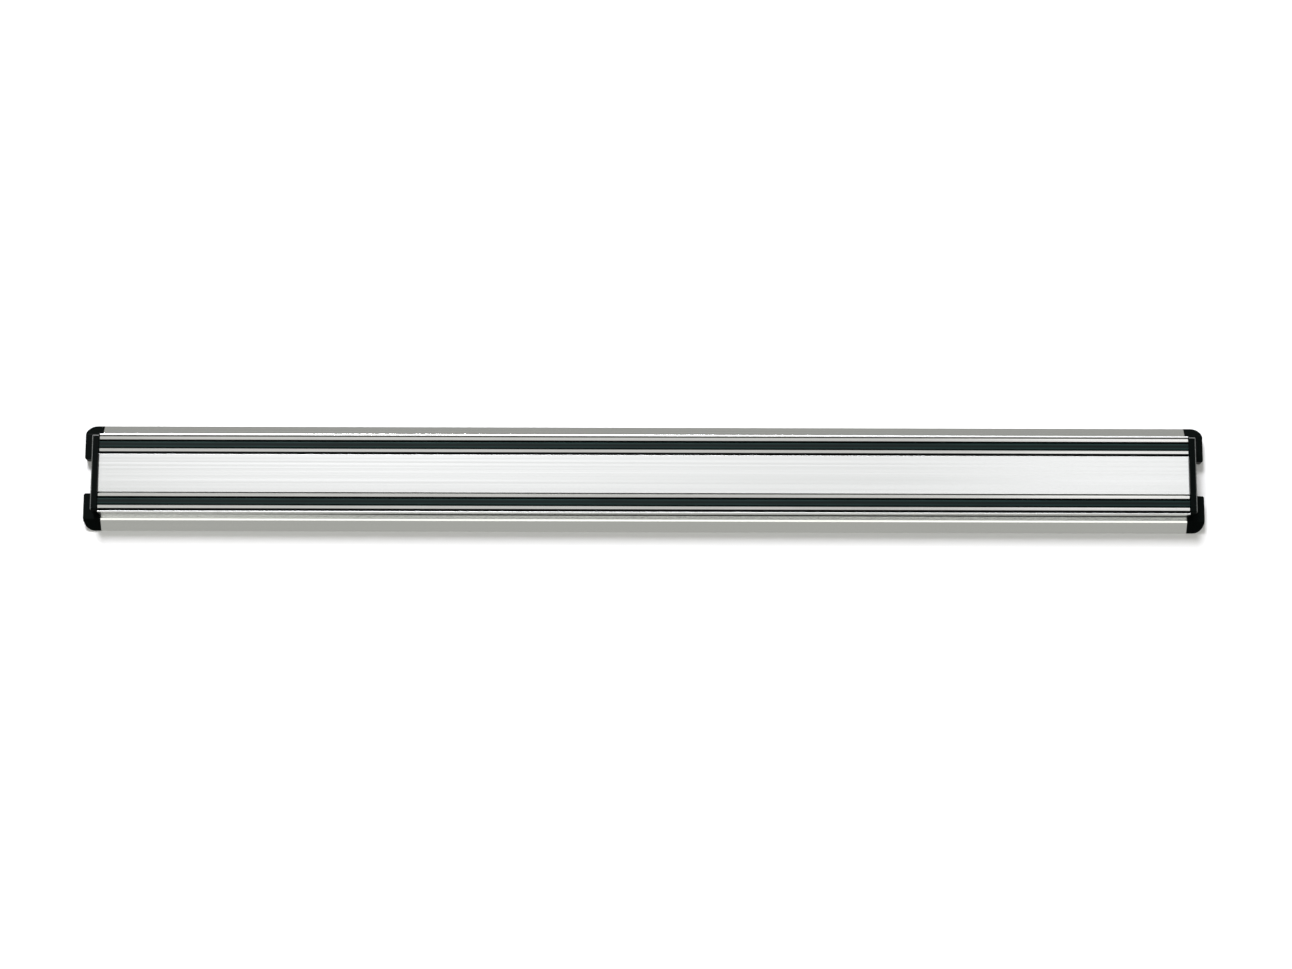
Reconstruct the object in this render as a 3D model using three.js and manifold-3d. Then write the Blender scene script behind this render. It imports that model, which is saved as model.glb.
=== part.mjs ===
// Twin-track magnetic knife rack: an aluminium extrusion for a wall, with two magnet tracks and two end caps.
// Millimetres. X runs along the rack, Y goes back to the wall and Z is up.
// The origin is the middle of the back plane, which lies against the wall.
import * as THREE from "three";
import { mergeVertices } from "three/addons/utils/BufferGeometryUtils.js";
import Module from "manifold-3d";

// Whole rack, over both end caps.
const OVERALL_LENGTH = 500;
const OVERALL_HEIGHT = 47.6;

// Extrusion. Depths are measured from the wall, heights up or down from the middle.
const PANEL_DEPTH = 13.6; // front of the panel and of the lips
const SKIRT_HEIGHT = 4.05; // height taken by the sloping skirt
const SKIRT_EDGE = 0.6; // straight edge of the skirt at the wall
const SKIRT_WALL = 1.2;
const CREST_DEPTH = 4.2; // top of the skirt's slope
const CREST_WIDTH = 1.1; // flat front of the crest
const VALLEY_WIDTH = 0.9; // between the crest and the lip
const VALLEY_DIP = 0.6; // how far the valley lies behind the crest
const LIP_THICKNESS = 0.8;
const TRACK_WIDTH = 8.25; // clear width of a magnet channel
const FLOOR_DEPTH = 3.8; // front of a channel's floor
const FLOOR_THICKNESS = 1.2;
const SLOT_WALL = 1.2; // wall between the rear slot and a channel, and over the slot
const SLOT_MOUTH = 6.4; // opening for a wall screw's shank
const SLOT_LIP = 1.4; // thickness of the two lips that hold a screw's head
const EDGE_RADIUS = 0.25;
const COVE_RADIUS = 0.2; // at both sides of the valley

// Magnet tracks.
const POLE_THICKNESS = 1.85;
const POLE_GAP = 0.5; // between a pole and the channel's side
const POLE_EDGE_RADIUS = 0.5;
const POLE_PROUD = 1.2; // how far the poles stand in front of the panel
const FILLER_RECESS = 0.7; // how far the filler strip lies behind the poles' front edges
const FILLER_THICKNESS = 2;
const MAGNETS_PER_TRACK = 8;
const MAGNET_CHAMFER = 0.3;

// End caps. Lengths are measured along the rack, from the end of the extrusion.
const CAP_LENGTH = 7.75;
const BAR_LENGTH = 3.1; // raised bar next to the extrusion
const BAR_PROUD = 1.6; // how far the bar stands in front of the panel
const BAR_OVERLAP = 0.1; // how far the bar reaches past the channels, up and down
const TAB_DEPTH = 5;
const TAB_INSET = 0.35; // from the extrusion's crest to a tab's outer edge
const TAB_SHOULDER = 0.95; // how far a tab reaches past the panel's edge, towards the middle
const CORNER_RADIUS = 4.7; // outer corners, seen from the front
const NOTCH_RADIUS = 0.9; // tab corners at the notch, seen from the front
const CAP_EDGE_RADIUS = 0.8;
const CAP_WALL = 1.5; // around the hollow behind a tab
const PASSAGE_DEPTH = 9; // clear depth behind the bar for a screw's head
const TONGUE_THICKNESS = 2.1;
const TONGUE_LENGTH = 14;
const TONGUE_TAPER = 1.5; // lead-in at a tongue's tip

// Clearances between pieces that touch on the real rack.
const SEAT = 0.05; // magnets, poles and filler strips
const END_GAP = 0.1; // extrusion and tracks to the end caps
const TONGUE_GAP = 0.1; // tongues to the rear slot

const ARC_STEPS = 6;
const OVERSHOOT = 1; // how far a cutting solid runs past what it cuts

// Heights and lengths that follow.
const halfHeight = OVERALL_HEIGHT / 2;
const crestHeight = halfHeight - SKIRT_HEIGHT;
const crestInner = crestHeight - CREST_WIDTH;
const lipOuter = crestInner - VALLEY_WIDTH;
const trackOuter = lipOuter - LIP_THICKNESS;
const trackInner = trackOuter - TRACK_WIDTH; // also half the panel's height
const slotHalf = trackInner - SLOT_WALL;
const slotDepth = PANEL_DEPTH - SLOT_WALL;
const recessDepth = FLOOR_DEPTH - FLOOR_THICKNESS;
const poleDepth = PANEL_DEPTH + POLE_PROUD;
const profileLength = OVERALL_LENGTH - 2 * CAP_LENGTH;

const wasm = await Module();
wasm.setup();

const aluminium = material(0xdcdedd, 0.38, 0.9);
const steel = material(0xbfc0bc, 0.3, 1);
const ferrite = material(0x2a2c2e, 0.75, 0.1);
const fillerPlastic = material(0x1c2b2b, 0.45, 0);
const capPlastic = material(0x0d1110, 0.5, 0);

function material(color, roughness, metalness) {
  return new THREE.MeshStandardMaterial({ color, roughness, metalness });
}

// Points of the arc that rounds a corner between two neighbouring points.
function roundedCorner(before, corner, after, radius) {
  const back = before.clone().sub(corner).normalize();
  const ahead = after.clone().sub(corner).normalize();
  const half = Math.acos(back.dot(ahead)) / 2;
  const centre = back.clone().add(ahead).setLength(radius / Math.sin(half)).add(corner);
  const start = back.clone().multiplyScalar(radius / Math.tan(half)).add(corner).sub(centre);
  const sweep = Math.sign(ahead.cross(back)) * (Math.PI - 2 * half);
  return Array.from({ length: ARC_STEPS + 1 }, (_, step) =>
    start.clone().rotateAround(new THREE.Vector2(), (sweep * step) / ARC_STEPS).add(centre),
  );
}

// A closed shape from corners given as [x, y, radius]; no radius leaves a corner sharp.
function roundedShape(corners) {
  const points = corners.map(([x, y]) => new THREE.Vector2(x, y));
  const count = points.length;
  const rounded = corners.flatMap(([, , radius], i) =>
    radius
      ? roundedCorner(points[(i + count - 1) % count], points[i], points[(i + 1) % count], radius)
      : [points[i]],
  );
  return new THREE.Shape(rounded);
}

// A closed section from corners given as [depth, height, radius]. Its x runs back to the wall, its y is up.
function section(corners) {
  return roundedShape(corners.map(([depth, height, radius]) => [-depth, height, radius]));
}

// The corners of a shape that is the same above and below the middle, from those of its upper half.
function mirrored(upper) {
  const lower = upper.map(([across, height, radius]) => [across, -height, radius]);
  return [...upper, ...lower.reverse()];
}

// A rectangle between two depths and two heights, with its front corners rounded.
function bar(backDepth, frontDepth, low, high, radius) {
  return section([
    [backDepth, low],
    [frontDepth, low, radius],
    [frontDepth, high, radius],
    [backDepth, high],
  ]);
}

// A prism of a section from one place along the rack to another.
function prism(shape, from, to) {
  const geometry = new THREE.ExtrudeGeometry(shape, { depth: to - from, bevelEnabled: false });
  return geometry.translate(0, 0, from);
}

// Booleans.
function toSolid(geometry) {
  const plain = new THREE.BufferGeometry();
  plain.setAttribute("position", geometry.getAttribute("position"));
  plain.setIndex(geometry.index);
  const merged = mergeVertices(plain, 1e-4);
  return new wasm.Manifold(
    new wasm.Mesh({
      numProp: 3,
      vertProperties: new Float32Array(merged.getAttribute("position").array),
      triVerts: new Uint32Array(merged.index.array),
    }),
  );
}

function toGeometry(solid) {
  const { vertProperties, triVerts } = solid.getMesh();
  const geometry = new THREE.BufferGeometry();
  geometry.setAttribute("position", new THREE.BufferAttribute(vertProperties, 3));
  geometry.setIndex(new THREE.BufferAttribute(triVerts, 1));
  geometry.computeVertexNormals();
  return geometry;
}

function block(backDepth, frontDepth, low, high, from, to) {
  return toSolid(prism(bar(backDepth, frontDepth, low, high), from, to));
}

// Everything is modelled in the section's frame, and this group turns it to lie along the rack.
const rack = new THREE.Group();
const along = new THREE.Group();
along.quaternion.setFromRotationMatrix(
  new THREE.Matrix4().makeBasis(
    new THREE.Vector3(0, 1, 0),
    new THREE.Vector3(0, 0, 1),
    new THREE.Vector3(1, 0, 0),
  ),
);
rack.add(along);

function place(name, geometry, look, parent = along) {
  const mesh = new THREE.Mesh(geometry, look);
  mesh.name = name;
  parent.add(mesh);
  return mesh;
}

// Extrusion: from the panel up over a channel, the lip, the valley and the skirt, then back along the wall
// and into the rear slot.
const skirtSlope = (halfHeight - crestHeight) / (CREST_DEPTH - SKIRT_EDGE);
const skirtInside = (depth) =>
  halfHeight - skirtSlope * (depth - SKIRT_EDGE) - SKIRT_WALL * Math.hypot(1, skirtSlope);
const profileShape = section(
  mirrored([
    [PANEL_DEPTH, trackInner, EDGE_RADIUS],
    [FLOOR_DEPTH, trackInner, EDGE_RADIUS],
    [FLOOR_DEPTH, trackOuter, EDGE_RADIUS],
    [PANEL_DEPTH, trackOuter, EDGE_RADIUS],
    [PANEL_DEPTH, lipOuter, EDGE_RADIUS],
    [CREST_DEPTH - VALLEY_DIP, lipOuter, COVE_RADIUS],
    [CREST_DEPTH - VALLEY_DIP, crestInner, COVE_RADIUS],
    [CREST_DEPTH, crestInner, EDGE_RADIUS],
    [CREST_DEPTH, crestHeight, EDGE_RADIUS],
    [SKIRT_EDGE, halfHeight, EDGE_RADIUS],
    [0, halfHeight],
    [0, skirtInside(0)],
    [recessDepth, skirtInside(recessDepth), EDGE_RADIUS],
    [recessDepth, trackInner, EDGE_RADIUS],
    [0, trackInner],
    [0, SLOT_MOUTH / 2, EDGE_RADIUS],
    [SLOT_LIP, SLOT_MOUTH / 2, EDGE_RADIUS],
    [SLOT_LIP, slotHalf, EDGE_RADIUS],
    [slotDepth, slotHalf, EDGE_RADIUS],
  ]),
);
place("aluminium_profile", prism(profileShape, -profileLength / 2, profileLength / 2), aluminium);

// One magnet track: two steel poles, bar magnets between them and a filler strip over the magnets.
// The track is modelled above the middle; a half turn about the depth axis gives the lower one.
function track(label) {
  const group = new THREE.Group();
  const half = profileLength / 2;
  const seat = FLOOR_DEPTH + SEAT;
  const outer = trackOuter - POLE_GAP;
  const inner = trackInner + POLE_GAP;
  const poleBar = (low) => bar(seat, poleDepth, low, low + POLE_THICKNESS, POLE_EDGE_RADIUS);
  place(label + "_outer_pole", prism(poleBar(outer - POLE_THICKNESS), -half, half), steel, group);
  place(label + "_inner_pole", prism(poleBar(inner), -half, half), steel, group);

  const low = inner + POLE_THICKNESS + SEAT;
  const high = outer - POLE_THICKNESS - SEAT;
  const fillerFront = poleDepth - FILLER_RECESS;
  const fillerBack = fillerFront - FILLER_THICKNESS;
  const fillerBar = bar(fillerBack, fillerFront, low, high, EDGE_RADIUS);
  place(label + "_filler_strip", prism(fillerBar, -half, half), fillerPlastic, group);

  const magnetBar = bar(seat, fillerBack - SEAT, low, high, MAGNET_CHAMFER);
  const pitch = profileLength / MAGNETS_PER_TRACK;
  for (let i = 0; i < MAGNETS_PER_TRACK; i++) {
    const start = i * pitch - half;
    const magnet = prism(magnetBar, start + SEAT, start + pitch - SEAT);
    place(label + "_magnet_" + (i + 1), magnet, ferrite, group);
  }
  along.add(group);
  return group;
}

track("upper");
track("lower").rotation.x = Math.PI;

// End cap for the +X end, with lengths measured from the end of the extrusion.
function endCap() {
  const inner = END_GAP;
  const notchHalf = trackInner - TAB_SHOULDER;
  const side = section(
    mirrored([
      [TAB_DEPTH, crestHeight - TAB_INSET, CAP_EDGE_RADIUS],
      [SKIRT_EDGE, halfHeight, EDGE_RADIUS],
      [0, halfHeight],
    ]),
  );
  const outline = roundedShape(
    mirrored([
      [BAR_LENGTH, notchHalf],
      [CAP_LENGTH, notchHalf, NOTCH_RADIUS],
      [CAP_LENGTH, halfHeight, CORNER_RADIUS],
      [-OVERSHOOT, halfHeight],
    ]),
  );
  const outlineBlock = new THREE.ExtrudeGeometry(outline, {
    depth: TAB_DEPTH + 2 * OVERSHOOT,
    bevelEnabled: false,
  });
  // The outline lies along the rack and its thickness goes forwards from just behind the wall plane.
  outlineBlock.applyMatrix4(
    new THREE.Matrix4().makeBasis(
      new THREE.Vector3(0, 0, 1),
      new THREE.Vector3(0, 1, 0),
      new THREE.Vector3(-1, 0, 0),
    ),
  );
  outlineBlock.translate(OVERSHOOT, 0, 0);

  const barHalf = trackOuter + BAR_OVERLAP;
  const barDepth = PANEL_DEPTH + BAR_PROUD;
  const barShape = bar(0, barDepth, -barHalf, barHalf, CAP_EDGE_RADIUS);
  const tongueOuter = slotHalf - TONGUE_GAP;
  const tongueInner = tongueOuter - TONGUE_THICKNESS;
  const past = CAP_LENGTH + OVERSHOOT;

  let cap = toSolid(prism(side, inner, CAP_LENGTH)).intersect(toSolid(outlineBlock));
  cap = cap.add(toSolid(prism(barShape, inner, BAR_LENGTH)));
  cap = cap.subtract(
    block(-OVERSHOOT, PASSAGE_DEPTH, -tongueInner, tongueInner, inner - OVERSHOOT, past),
  );
  for (const way of [-1, 1]) {
    const tongue = tongueSolid(way * tongueInner, way * tongueOuter, inner);
    const hollow = [notchHalf + CAP_WALL, crestHeight - CAP_WALL].map((height) => way * height);
    const [low, high] = hollow.sort((a, b) => a - b);
    cap = cap.add(tongue);
    cap = cap.subtract(
      block(-OVERSHOOT, TAB_DEPTH - CAP_WALL, low, high, inner + CAP_WALL, CAP_LENGTH - CAP_WALL),
    );
  }
  return toGeometry(cap);
}

// A tongue that fits along one side of the rear slot, tapered at its tip.
function tongueSolid(innerHeight, outerHeight, capFace) {
  const back = SLOT_LIP + TONGUE_GAP;
  const front = slotDepth - TONGUE_GAP;
  const reach = capFace + BAR_LENGTH / 2;
  const outline = new THREE.Shape([
    new THREE.Vector2(reach, back),
    new THREE.Vector2(reach, front),
    new THREE.Vector2(TONGUE_TAPER - TONGUE_LENGTH, front),
    new THREE.Vector2(-TONGUE_LENGTH, front - TONGUE_TAPER),
    new THREE.Vector2(-TONGUE_LENGTH, back + TONGUE_TAPER),
    new THREE.Vector2(TONGUE_TAPER - TONGUE_LENGTH, back),
  ]);
  const geometry = new THREE.ExtrudeGeometry(outline, { depth: TONGUE_THICKNESS, bevelEnabled: false });
  // The outline's x lies along the rack and its y goes forwards; its thickness is up.
  geometry.applyMatrix4(
    new THREE.Matrix4().makeBasis(
      new THREE.Vector3(0, 0, 1),
      new THREE.Vector3(-1, 0, 0),
      new THREE.Vector3(0, -1, 0),
    ),
  );
  geometry.translate(0, Math.max(innerHeight, outerHeight), 0);
  return toSolid(geometry);
}

const capGeometry = endCap();
const rightEnd = new THREE.Group();
rightEnd.position.z = profileLength / 2;
const leftEnd = new THREE.Group();
leftEnd.position.z = -profileLength / 2;
leftEnd.rotation.x = Math.PI;
along.add(rightEnd, leftEnd);
place("right_end_cap", capGeometry, capPlastic, rightEnd);
place("left_end_cap", capGeometry, capPlastic, leftEnd);

export default rack;
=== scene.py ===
"""Looks of a magnetic knife rack, in metres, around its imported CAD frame.

The rack hangs on a white wall at y = 0 and faces -Y. The camera looks slightly up at it.
"""

import math

import bmesh
import bpy
from mathutils import Matrix, Vector


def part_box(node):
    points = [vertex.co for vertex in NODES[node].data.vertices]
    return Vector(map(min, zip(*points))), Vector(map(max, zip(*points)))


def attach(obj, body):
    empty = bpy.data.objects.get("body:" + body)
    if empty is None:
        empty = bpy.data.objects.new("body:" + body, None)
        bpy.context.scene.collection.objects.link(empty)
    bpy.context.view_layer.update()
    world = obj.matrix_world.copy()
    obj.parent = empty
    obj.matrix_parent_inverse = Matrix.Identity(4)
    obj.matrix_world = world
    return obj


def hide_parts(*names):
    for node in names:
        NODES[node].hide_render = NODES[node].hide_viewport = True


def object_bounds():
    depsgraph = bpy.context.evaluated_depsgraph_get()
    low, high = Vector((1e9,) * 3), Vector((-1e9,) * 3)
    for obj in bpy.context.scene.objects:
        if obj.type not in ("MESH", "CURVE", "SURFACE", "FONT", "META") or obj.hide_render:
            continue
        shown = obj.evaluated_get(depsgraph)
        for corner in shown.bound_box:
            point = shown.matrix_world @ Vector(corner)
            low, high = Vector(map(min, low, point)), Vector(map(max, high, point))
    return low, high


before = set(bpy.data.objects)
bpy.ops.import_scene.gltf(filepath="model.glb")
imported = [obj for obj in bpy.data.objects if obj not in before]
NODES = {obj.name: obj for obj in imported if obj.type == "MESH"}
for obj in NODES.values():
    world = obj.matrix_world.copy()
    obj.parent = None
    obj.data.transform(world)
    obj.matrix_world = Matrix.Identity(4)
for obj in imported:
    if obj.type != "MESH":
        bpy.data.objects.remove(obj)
CAD_LOW, CAD_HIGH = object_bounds()

MM = 0.001
TRACKS = ("upper", "lower")

# The extrusion as in CAD. Depths are measured from the wall, heights up or down from the middle.
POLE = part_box("upper_outer_pole")
INNER_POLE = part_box("upper_inner_pole")
PANEL_DEPTH = -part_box("aluminium_profile")[0].y
FILLER_MIDDLE = sum(corner.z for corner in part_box("upper_filler_strip")) / 2
CHANNEL_FLOOR = -POLE[1].y
POLE_GAP = 0.5 * MM  # between a pole and the channel's side
LIP_THICKNESS = 0.8 * MM
LIP_INNER = POLE[1].z + POLE_GAP
LIP_OUTER = LIP_INNER + LIP_THICKNESS
SKIRT_HEIGHT = 4.05 * MM
CREST_WIDTH = 1.1 * MM
CREST_INNER = CAD_HIGH.z - SKIRT_HEIGHT - CREST_WIDTH
CREST_DEPTH = 4.2 * MM
EDGE_RADIUS = 0.25 * MM

# Where the shown pieces differ from their CAD solids.
FILLER_GROOVE = 0.42 * MM  # on both sides of a filler strip
POLE_CHAMFER = 0.3 * MM
CAP_BEVEL = 0.45 * MM
CREST_SHIFT = 0.25 * MM  # how much further the crests' inner edges stand out
LIP_LEAN = 0.05  # slope of the lower lip's front

# A painted sheen makes a filler strip paler between these distances from its middle.
FILLER_SHEEN = (0.2 * MM, 1.2 * MM)

# The undercut with a painted dark reflection: its depths on the lower lip, and where along the rack the
# painted reflection fades in.
UNDERCUT = (7.2 * MM, 10.6 * MM)
DARK_REFLECTION_STARTS = CAD_LOW.x + 55 * MM
DARK_REFLECTION_IS_FULL = CAD_LOW.x + 140 * MM

# Tolerances that tell vertices, edges and faces apart.
MERGE_DISTANCE = 0.001 * MM
FLAT_ANGLE = math.radians(0.5)
SMOOTH_ANGLE = math.radians(32)
FACE_PLAY = 0.1 * MM  # between a face and its stated place
CORNER_REACH = 0.3 * MM  # from a corner over its rounding
CHANNEL_SIDE_PLAY = 0.05 * MM
BAR_CLEAR = 0.2 * MM  # in front of the panel, so on the bar

# Parts of a unit normal along one axis: 0 is edge on and 1 is square on.
BARELY_TURNED = 0.1
HALF_TURNED = 0.5
SQUARE = 0.9
EXACTLY_SQUARE = 0.99
HIGHLIGHT_TURN = (0.2, 0.98)  # painted highlights on the roundings of a cap's bar

# Colours
ALUMINIUM = (0.86, 0.87, 0.865)
SHADE_BLACK = (0.01, 0.011, 0.011)
STEEL = (0.8, 0.8, 0.775)
FERRITE = (0.03, 0.032, 0.034)
FILLER_PLASTIC = (0.004, 0.0125, 0.0115)
CAP_PLASTIC = (0.0012, 0.0022, 0.002)
PAINTED_HIGHLIGHT_PLASTIC = (0.1, 0.104, 0.102)
WALL_PAINT = (0.8, 0.8, 0.8)
FLOOR_PAINT = (0.8, 0.8, 0.79)
LAMP_LIGHT = (1, 1, 1.04)
ROOM_TINT = (1, 1, 0.94)

# Camera, from the rack's middle: angles in degrees, distances in metres, the sensor in millimetres.
CAMERA_AZIMUTH = 0.24
CAMERA_ELEVATION = -11.05
CAMERA_DISTANCE = 1.447
CAMERA_ROLL = 0.197
CAMERA_FIELD = 22.63
CAMERA_AIM = Vector((1.1 * MM, 0, -2.1 * MM))
SENSOR_WIDTH = 36

# Stage
STAGE_SIZE = 8
WALL_GAP = 0.2 * MM
FLOOR_DROP = 0.6
WALL_GLOW = 0.05
FLOOR_GLOW = 0.7

# The room seen in reflections, by the parts of a direction's unit vector across, forward and up.
# A band starts at the first height, is full from the second to the third and ends at the fourth.
FRONT = (-0.75, -0.55)  # the forward part where the front is full, and where it ends
ROOM_BRIGHTNESS = (0.44, 0.35)  # straight down and straight up
LOW_BAND = (-0.6, -0.5, -0.3, -0.26)
LOW_BAND_BRIGHTNESS = 1.5
CAMERA_BAND = (-0.27, -0.24, -0.06, 0)
CAMERA_BAND_BRIGHTNESS = (0.7, 0.15)  # left and right of its turn
CAMERA_BAND_TURN = (-0.14, -0.08)


# ---------------------------------------------------------------- shader nodes


def new_material(name):
    """A node material, its tree and its Principled shader."""
    material = bpy.data.materials.new(name)
    material.use_nodes = True
    tree = material.node_tree
    return material, tree, tree.nodes["Principled BSDF"]


def add(tree, kind, **values):
    """A node; values with a socket's name set that input, others set a property."""
    node = tree.nodes.new(kind)
    for key, value in values.items():
        socket = key.replace("_", " ")
        if socket in node.inputs:
            node.inputs[socket].default_value = value
        else:
            setattr(node, key, value)
    return node


def feed(tree, socket, value):
    """Sets a socket to a number, or links another node's output to it."""
    if isinstance(value, (int, float)):
        socket.default_value = value
    else:
        tree.links.new(value, socket)


def object_noise(tree, scale, detail=3.0, roughness=0.6):
    """Noise in object space, stretched by scale along each axis."""
    place = add(tree, "ShaderNodeTexCoord")
    stretch = add(tree, "ShaderNodeMapping")
    stretch.inputs["Scale"].default_value = scale
    noise = add(tree, "ShaderNodeTexNoise", Scale=1, Detail=detail, Roughness=roughness)
    tree.links.new(place.outputs["Object"], stretch.inputs["Vector"])
    tree.links.new(stretch.outputs["Vector"], noise.inputs["Vector"])
    return noise.outputs["Fac"]


def position(tree, system="Object"):
    """The X, Y and Z outputs of a texture coordinate system."""
    place = add(tree, "ShaderNodeTexCoord")
    split = add(tree, "ShaderNodeSeparateXYZ")
    tree.links.new(place.outputs[system], split.inputs["Vector"])
    return split.outputs


def remap(tree, value, low, high, start=0.3, end=0.7):
    """value's range start..end spread over low..high, and held there beyond it."""
    node = add(tree, "ShaderNodeMapRange")
    node.inputs["From Min"].default_value = start
    node.inputs["From Max"].default_value = end
    node.inputs["To Min"].default_value = low
    node.inputs["To Max"].default_value = high
    tree.links.new(value, node.inputs["Value"])
    return node.outputs["Result"]


def math_node(tree, operation, first, second=0):
    """The result of a Math node on two numbers or outputs."""
    node = add(tree, "ShaderNodeMath", operation=operation)
    feed(tree, node.inputs[0], first)
    feed(tree, node.inputs[1], second)
    return node.outputs["Value"]


def blend(tree, mask, first, second):
    """first where the mask is 0 and second where it is 1."""
    node = add(tree, "ShaderNodeMix", data_type="FLOAT")
    feed(tree, node.inputs["Factor"], mask)
    feed(tree, node.inputs["A"], first)
    feed(tree, node.inputs["B"], second)
    return node.outputs["Result"]


def shade(tree, colour, brightness):
    """A constant colour times a varying brightness."""
    node = add(tree, "ShaderNodeMix", data_type="RGBA", blend_type="MULTIPLY")
    node.inputs["Factor"].default_value = 1
    node.inputs["A"].default_value = (*colour, 1)
    tree.links.new(brightness, node.inputs["B"])
    return node.outputs["Result"]


def bump(tree, height, strength, distance):
    """A normal that follows a varying height."""
    node = add(tree, "ShaderNodeBump", Strength=strength, Distance=distance)
    tree.links.new(height, node.inputs["Height"])
    return node.outputs["Normal"]


def show_mix(tree, mask, first, second, output):
    """Sends the first shader to an output node where the mask is 0, and the second where it is 1."""
    mix = add(tree, "ShaderNodeMixShader")
    tree.links.new(mask, mix.inputs["Fac"])
    tree.links.new(first, mix.inputs[1])
    tree.links.new(second, mix.inputs[2])
    tree.links.new(mix.outputs["Shader"], tree.nodes[output].inputs["Surface"])


# ---------------------------------------------------------------- materials


def aluminium_look(name="anodised_aluminium", roughness=(0.2, 0.26), undercut=False):
    """Satin anodised extrusion with fine die lines along its length.

    In the undercut it is painted dark as a reflection, more and more from the left to the right.
    """
    material, tree, surface = new_material(name)
    die_lines = object_noise(tree, (1.5, 1100, 1100), detail=2)
    broad = object_noise(tree, (9, 40, 40), detail=2)
    tone = math_node(tree, "MULTIPLY", remap(tree, die_lines, 0.975, 1.0), remap(tree, broad, 0.985, 1.0))
    # The undercut gets a painted dark reflection that fades in along the rack.
    if undercut:
        unpainted = remap(tree, position(tree)["X"], 1, 0.01, DARK_REFLECTION_STARTS, DARK_REFLECTION_IS_FULL)
        tone = math_node(tree, "MULTIPLY", tone, unpainted)
        tree.links.new(unpainted, surface.inputs["Metallic"])
        surface.inputs["Specular IOR Level"].default_value = 0.02
    else:
        surface.inputs["Metallic"].default_value = 1
    tree.links.new(shade(tree, ALUMINIUM, tone), surface.inputs["Base Color"])
    tree.links.new(remap(tree, die_lines, *roughness), surface.inputs["Roughness"])
    tree.links.new(bump(tree, die_lines, 0.05, 0.004 * MM), surface.inputs["Normal"])
    return material


def channel_look():
    """Inside of the magnet channels, painted black as shade."""
    material, tree, surface = new_material("channel_painted_shade")
    blotches = object_noise(tree, (60, 700, 700), detail=3)
    tree.links.new(shade(tree, SHADE_BLACK, remap(tree, blotches, 0.6, 1.4)), surface.inputs["Base Color"])
    surface.inputs["Roughness"].default_value = 0.8
    surface.inputs["Specular IOR Level"].default_value = 0.05
    return material


def steel_look():
    """Drawn steel strip: bright, with streaks along it that vary in tone and gloss."""
    material, tree, surface = new_material("drawn_steel")
    streaks = object_noise(tree, (4, 1500, 1500), detail=4, roughness=0.7)
    patches = object_noise(tree, (24, 260, 260), detail=3)
    tone = math_node(tree, "MULTIPLY", remap(tree, streaks, 0.75, 1.0), remap(tree, patches, 0.9, 1.0))
    tree.links.new(shade(tree, STEEL, tone), surface.inputs["Base Color"])
    tree.links.new(remap(tree, streaks, 0.2, 0.12), surface.inputs["Roughness"])
    surface.inputs["Metallic"].default_value = 1
    tree.links.new(bump(tree, streaks, 0.1, 0.006 * MM), surface.inputs["Normal"])
    return material


def filler_look():
    """Dark green-black strip with a faint lengthwise grain, and a painted sheen that makes it paler
    towards its edges.
    """
    material, tree, surface = new_material("dark_filler")
    grain = object_noise(tree, (30, 900, 900), detail=4, roughness=0.7)
    height = math_node(tree, "ABSOLUTE", position(tree)["Z"])
    off_middle = math_node(tree, "ABSOLUTE", math_node(tree, "SUBTRACT", height, FILLER_MIDDLE))
    # Painted sheen: paler towards the strip's edges.
    painted_sheen = remap(tree, off_middle, 0.35, 1.7, *FILLER_SHEEN)
    tone = math_node(tree, "MULTIPLY", remap(tree, grain, 0.6, 1.4), painted_sheen)
    tree.links.new(shade(tree, FILLER_PLASTIC, tone), surface.inputs["Base Color"])
    tree.links.new(remap(tree, grain, 0.5, 0.38), surface.inputs["Roughness"])
    surface.inputs["Specular IOR Level"].default_value = 0.1
    tree.links.new(bump(tree, grain, 0.3, 0.03 * MM), surface.inputs["Normal"])
    return material


def cap_look(name="cap_plastic", black=CAP_PLASTIC, specular=0.03):
    """Black moulded plastic with a fine spark-eroded texture."""
    material, tree, surface = new_material(name)
    pits = object_noise(tree, (2600, 2600, 2600), detail=3, roughness=0.7)
    tree.links.new(shade(tree, black, remap(tree, pits, 0.5, 1.5)), surface.inputs["Base Color"])
    tree.links.new(remap(tree, pits, 0.42, 0.3), surface.inputs["Roughness"])
    surface.inputs["Specular IOR Level"].default_value = specular
    tree.links.new(bump(tree, pits, 0.35, 0.04 * MM), surface.inputs["Normal"])
    return material


def ferrite_look():
    """Sintered magnet: dark grey with a matt, faintly speckled face."""
    material, tree, surface = new_material("ferrite")
    specks = object_noise(tree, (1800, 1800, 1800), detail=4, roughness=0.75)
    tree.links.new(shade(tree, FERRITE, remap(tree, specks, 0.75, 1.3)), surface.inputs["Base Color"])
    tree.links.new(remap(tree, specks, 0.8, 0.6), surface.inputs["Roughness"])
    surface.inputs["Metallic"].default_value = 0.2
    tree.links.new(bump(tree, specks, 0.3, 0.05 * MM), surface.inputs["Normal"])
    return material


LOOKS = {
    "aluminium": aluminium_look(),
    "pole_steel": steel_look(),
    "ferrite": ferrite_look(),
    "filler_plastic": filler_look(),
    "cap_plastic": cap_look(),
}
PAINTED_SHADE_LOOK = channel_look()
UNDERCUT_REFLECTION_LOOK = aluminium_look("undercut_painted_reflection", undercut=True)
EDGE_LOOK = aluminium_look("rubbed_aluminium", roughness=(0.42, 0.5))
# Paler, glossier plastic that paints highlights on the caps' edges.
CAP_HIGHLIGHT_LOOK = cap_look("cap_painted_highlight", black=PAINTED_HIGHLIGHT_PLASTIC, specular=0.3)


# ---------------------------------------------------------------- pieces


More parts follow.
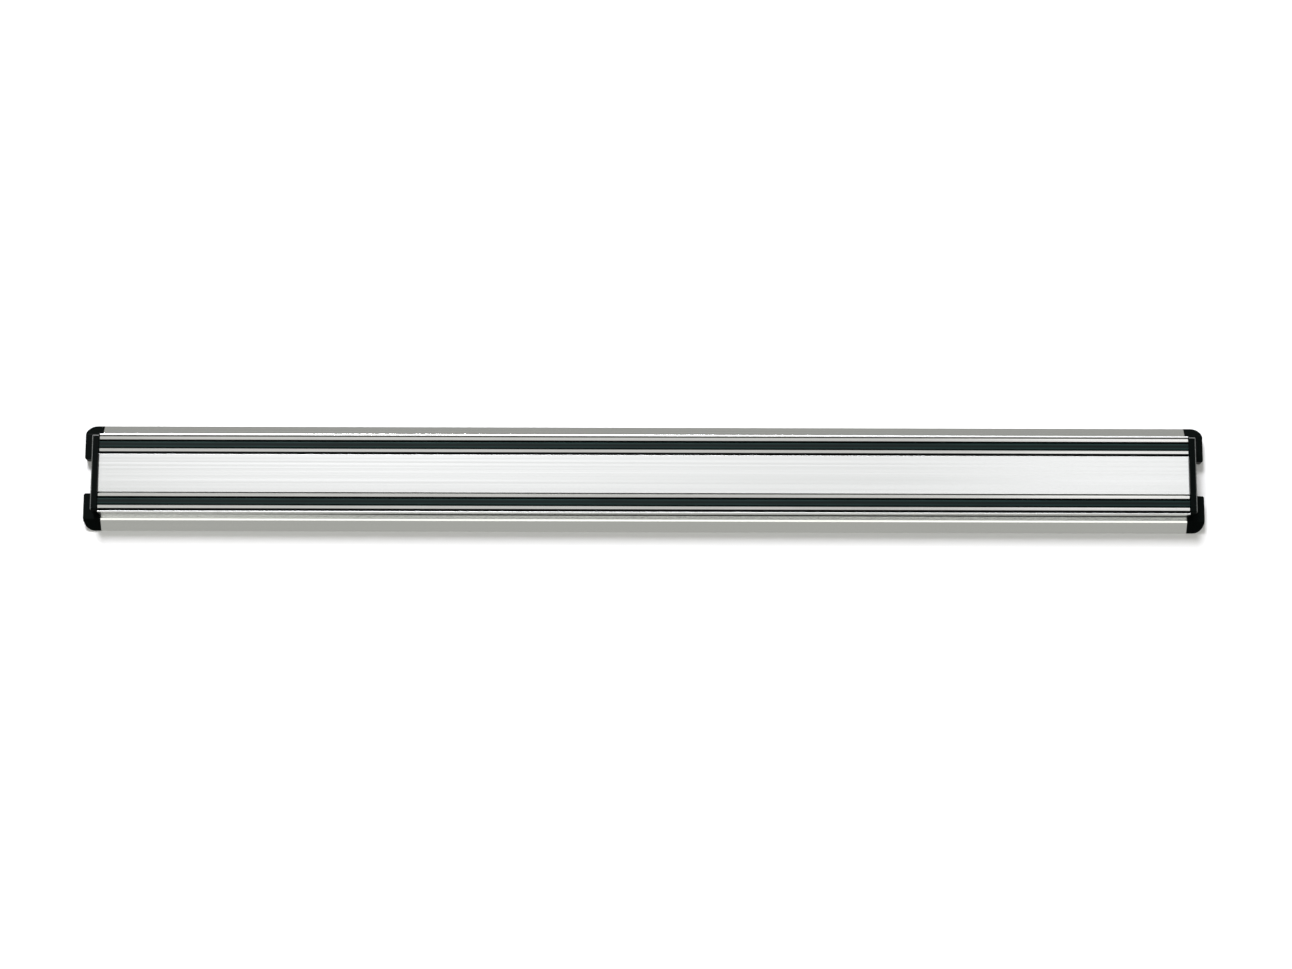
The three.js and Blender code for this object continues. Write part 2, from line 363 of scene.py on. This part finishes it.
def cleaned(node):
    """A bmesh of a CAD node whose flat faces are whole again."""
    made = bmesh.new()
    made.from_mesh(NODES[node].data)
    bmesh.ops.remove_doubles(made, verts=made.verts, dist=MERGE_DISTANCE)
    bmesh.ops.dissolve_limit(
        made, angle_limit=FLAT_ANGLE, verts=made.verts, edges=made.edges, use_dissolve_boundaries=False
    )
    return made


def sharp(edge):
    """Whether two faces meet at an edge that stays hard."""
    return len(edge.link_faces) == 2 and edge.calc_face_angle() > SMOOTH_ANGLE


def soften(made, width, steps, edges=None):
    """Bevels the given edges, or every sharp one; one step is a chamfer, more are a rounding."""
    bmesh.ops.bevel(
        made,
        geom=edges or [edge for edge in made.edges if sharp(edge)],
        offset=width,
        segments=steps,
        profile=0.5,
        affect="EDGES",
        clamp_overlap=True,
    )


def object_from(name, made):
    """An object in the scene made of a bmesh, which is freed."""
    mesh = bpy.data.meshes.new(name)
    made.to_mesh(mesh)
    made.free()
    piece = bpy.data.objects.new(name, mesh)
    bpy.context.collection.objects.link(piece)
    return piece


def finish_piece(name, made, node, slot):
    """Turns a bmesh into a shaded piece that stands for a CAD node."""
    for face in made.faces:
        face.smooth = True
    for edge in made.edges:
        edge.smooth = len(edge.link_faces) == 2 and edge.calc_face_angle() < SMOOTH_ANGLE
    piece = object_from(name, made)
    piece.data.materials.append(LOOKS[slot])
    weighted = piece.modifiers.new("flat_faces_stay_flat", "WEIGHTED_NORMAL")
    weighted.keep_sharp = True
    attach(piece, "root")
    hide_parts(node)
    return piece


def extra_look(piece, look):
    """Adds a look to a piece and gives its index."""
    piece.data.materials.append(look)
    return len(piece.data.materials) - 1


def make_profile():
    """The extrusion."""
    made = cleaned("aluminium_profile")
    shape_profile(made)
    paint_profile(finish_piece("extrusion", made, "aluminium_profile", "aluminium"))


def shape_profile(made):
    """Moves the crests' inner edges and the lower lip's front, and cuts out the undercut's band."""
    for vert in made.verts:
        depth, height = -vert.co.y, vert.co.z
        if abs(abs(height) - CREST_INNER) < CORNER_REACH and depth > CREST_DEPTH - CORNER_REACH:
            vert.co.y -= CREST_SHIFT
        if height < -LIP_INNER + FACE_PLAY and depth > PANEL_DEPTH - CORNER_REACH:
            vert.co.y += LIP_LEAN * (height + (LIP_INNER + LIP_OUTER) / 2)
    for depth in UNDERCUT:
        everything = made.verts[:] + made.edges[:] + made.faces[:]
        bmesh.ops.bisect_plane(made, geom=everything, plane_co=(0, -depth, 0), plane_no=(0, 1, 0))


def paint_profile(piece):
    """Paints shade into the channels and a dark reflection into the lower lip's undercut, and gives the
    roundings at the front a rougher look.
    """
    channel = extra_look(piece, PAINTED_SHADE_LOOK)
    undercut = extra_look(piece, UNDERCUT_REFLECTION_LOOK)
    edge = extra_look(piece, EDGE_LOOK)
    channel_low = INNER_POLE[0].z - POLE_GAP - CHANNEL_SIDE_PLAY
    channel_high = LIP_INNER + CHANNEL_SIDE_PLAY
    for face in piece.data.polygons:
        depth, height = -face.center.y, face.center.z
        inside = CHANNEL_FLOOR - FACE_PLAY < depth < PANEL_DEPTH - FACE_PLAY
        # Faces inside the channels are painted black as shade.
        if inside and channel_low < abs(height) < channel_high:
            face.material_index = channel
        # The undercut band on the lower lip gets a painted dark reflection.
        elif UNDERCUT[0] < depth < UNDERCUT[1] and abs(height + LIP_OUTER) < FACE_PLAY:
            face.material_index = undercut
        elif depth > PANEL_DEPTH - EDGE_RADIUS and abs(face.normal.z) > BARELY_TURNED:
            face.material_index = edge


def make_pole(node):
    """A strip with chamfered edges, whose sides and downward chamfers are painted black as shade."""
    low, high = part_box(node)
    made = bmesh.new()
    bmesh.ops.create_cube(made, size=1, matrix=Matrix.LocRotScale((low + high) / 2, None, high - low))
    soften(made, POLE_CHAMFER, 1)
    piece = finish_piece(f"{node}_strip", made, node, "pole_steel")
    painted_shade = extra_look(piece, PAINTED_SHADE_LOOK)
    # The sides in the gaps and the downward chamfers are painted black as shade.
    for face in piece.data.polygons:
        if face.normal.z > SQUARE or face.normal.z < -HALF_TURNED:
            face.material_index = painted_shade


def make_filler(track):
    """The strip, with a narrow groove left between it and each pole."""
    node = f"{track}_filler_strip"
    low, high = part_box(node)
    middle = (low.z + high.z) / 2
    made = cleaned(node)
    for vert in made.verts:
        vert.co.z += FILLER_GROOVE if vert.co.z < middle else -FILLER_GROOVE
    finish_piece(f"{track}_filler", made, node, "filler_plastic")


def make_tracks():
    """The pole and filler strips."""
    for track in TRACKS:
        for side in ("outer", "inner"):
            make_pole(f"{track}_{side}_pole")
        make_filler(track)


def bar_rim(made, side):
    """The outer front edges of a cap's raised bar; side is -1 at the left and 1 at the right."""
    return [
        edge
        for edge in made.edges
        if sharp(edge)
        and all(-vert.co.y > PANEL_DEPTH + BAR_CLEAR for vert in edge.verts)
        and any(face.normal.x * side > EXACTLY_SQUARE for face in edge.link_faces)
    ]


def make_caps():
    """The end caps, with painted highlights along the outer and top edges of their raised bars."""
    for end, side in (("left", -1), ("right", 1)):
        made = cleaned(f"{end}_end_cap")
        soften(made, CAP_BEVEL, 3, bar_rim(made, side))
        soften(made, CAP_BEVEL, 3)
        piece = finish_piece(f"{end}_cap", made, f"{end}_end_cap", "cap_plastic")
        painted_sheen = extra_look(piece, CAP_HIGHLIGHT_LOOK)
        for face in piece.data.polygons:
            turn = max(face.normal.x * side, face.normal.z)
            # Faces on the bar's front roundings get the paler plastic as a painted highlight.
            if -face.center.y > PANEL_DEPTH and HIGHLIGHT_TURN[0] < turn < HIGHLIGHT_TURN[1]:
                face.material_index = painted_sheen


def paint_magnets():
    """The magnets stay as in CAD and get the ferrite look."""
    for name, node in NODES.items():
        if "_magnet_" in name:
            node.data.materials.clear()
            node.data.materials.append(LOOKS["ferrite"])


# ---------------------------------------------------------------- room, light and camera


def plane(name, place, turn, look):
    """A square stage plane, turned by a matrix."""
    made = bmesh.new()
    bmesh.ops.create_grid(made, x_segments=1, y_segments=1, size=STAGE_SIZE / 2)
    bmesh.ops.transform(made, matrix=Matrix.Translation(place) @ turn, verts=made.verts)
    piece = object_from(name, made)
    piece.data.materials.append(look)
    # The plane takes shadows. It casts none, lights nothing and doesn't show in the metal.
    piece.visible_diffuse = False
    piece.visible_glossy = False
    piece.visible_shadow = False


def stage_look(name, colour, glow):
    """Matt paint that can't be seen from behind."""
    material, tree, surface = new_material(name)
    surface.inputs["Base Color"].default_value = (*colour, 1)
    surface.inputs["Roughness"].default_value = 1
    surface.inputs["Specular IOR Level"].default_value = 0
    surface.inputs["Emission Color"].default_value = (1, 1, 1, 1)
    surface.inputs["Emission Strength"].default_value = glow
    clear = add(tree, "ShaderNodeBsdfTransparent")
    side = add(tree, "ShaderNodeNewGeometry")
    shaders = (surface.outputs["BSDF"], clear.outputs["BSDF"])
    show_mix(tree, side.outputs["Backfacing"], *shaders, "Material Output")
    return material


def make_room():
    """The wall behind the rack and a floor below it."""
    upright = Matrix.Rotation(math.pi / 2, 4, "X")
    plane("wall", (0, WALL_GAP, 0), upright, stage_look("wall_paint", WALL_PAINT, WALL_GLOW))
    below = (0, 0, CAD_LOW.z - FLOOR_DROP)
    plane("floor", below, Matrix.Identity(4), stage_look("floor_paint", FLOOR_PAINT, FLOOR_GLOW))


def direction(azimuth, elevation):
    """Unit vector from the rack towards a place in front of it; azimuth 0 is straight ahead."""
    across, up = math.radians(azimuth), math.radians(elevation)
    return Vector((math.sin(across) * math.cos(up), -math.cos(across) * math.cos(up), math.sin(up)))


def softbox(name, azimuth, elevation, distance, width, height, watts):
    """A rectangular lamp that faces the rack's middle."""
    light = bpy.data.lights.new(name, "AREA")
    light.shape = "RECTANGLE"
    light.size = width
    light.size_y = height
    light.energy = watts
    light.color = LAMP_LIGHT
    lamp = bpy.data.objects.new(name, light)
    way = direction(azimuth, elevation)
    lamp.location = way * distance
    lamp.rotation_mode = "QUATERNION"
    lamp.rotation_quaternion = (-way).to_track_quat("-Z", "Y")
    bpy.context.collection.objects.link(lamp)


def make_lights():
    """A key light from above, a broad weak one in front and a small weak one at the right."""
    softbox("key", azimuth=-11, elevation=37.5, distance=3, width=0.85, height=0.85, watts=112)
    softbox("front", azimuth=2, elevation=13, distance=2.4, width=1.7, height=1.0, watts=1.9)
    softbox("right", azimuth=14, elevation=11, distance=2.4, width=0.3, height=0.3, watts=0.2)


def between(tree, value, start, full, fades, end):
    """1 where value lies between full and fades, falling to 0 at start and end."""
    rise = remap(tree, value, 0, 1, start, full)
    fall = remap(tree, value, 1, 0, fades, end)
    return math_node(tree, "MULTIPLY", rise, fall)


def make_world():
    """White to the camera. Reflections see a grey room with a bright low band in front.

    Above that band, the room in front is dark to the right and lighter to the left.
    """
    world = bpy.data.worlds.new("studio")
    bpy.context.scene.world = world
    world.use_nodes = True
    tree = world.node_tree
    sky = tree.nodes["Background"]
    way = position(tree, "Generated")
    across, forward, up = (way[axis] for axis in "XYZ")
    front = remap(tree, forward, 1, 0, *FRONT)
    grey = remap(tree, up, *ROOM_BRIGHTNESS, -1, 1)
    low_band = math_node(tree, "MULTIPLY", front, between(tree, up, *LOW_BAND))
    camera_band = math_node(tree, "MULTIPLY", front, between(tree, up, *CAMERA_BAND))
    camera_side = remap(tree, across, *CAMERA_BAND_BRIGHTNESS, *CAMERA_BAND_TURN)
    lit = blend(tree, low_band, grey, LOW_BAND_BRIGHTNESS)
    brightness = blend(tree, camera_band, lit, camera_side)
    tree.links.new(shade(tree, ROOM_TINT, brightness), sky.inputs["Color"])
    white = add(tree, "ShaderNodeBackground")
    white.inputs["Color"].default_value = (1, 1, 1, 1)
    path = add(tree, "ShaderNodeLightPath")
    backgrounds = (sky.outputs["Background"], white.outputs["Background"])
    show_mix(tree, path.outputs["Is Camera Ray"], *backgrounds, "World Output")


def make_camera():
    """The scene's camera."""
    data = bpy.data.cameras.new("camera")
    data.sensor_width = SENSOR_WIDTH
    data.lens = SENSOR_WIDTH / 2 / math.tan(math.radians(CAMERA_FIELD) / 2)
    camera = bpy.data.objects.new("camera", data)
    way = direction(CAMERA_AZIMUTH, CAMERA_ELEVATION)
    camera.location = CAMERA_AIM + way * CAMERA_DISTANCE
    camera.rotation_mode = "QUATERNION"
    level = (-way).to_track_quat("-Z", "Y")
    roll = Matrix.Rotation(math.radians(CAMERA_ROLL), 3, "Z").to_quaternion()
    camera.rotation_quaternion = level @ roll
    bpy.context.collection.objects.link(camera)
    bpy.context.scene.camera = camera


make_camera()
make_profile()
make_tracks()
make_caps()
paint_magnets()
make_room()
make_lights()
make_world()
bpy.context.scene.view_settings.view_transform = "Standard"
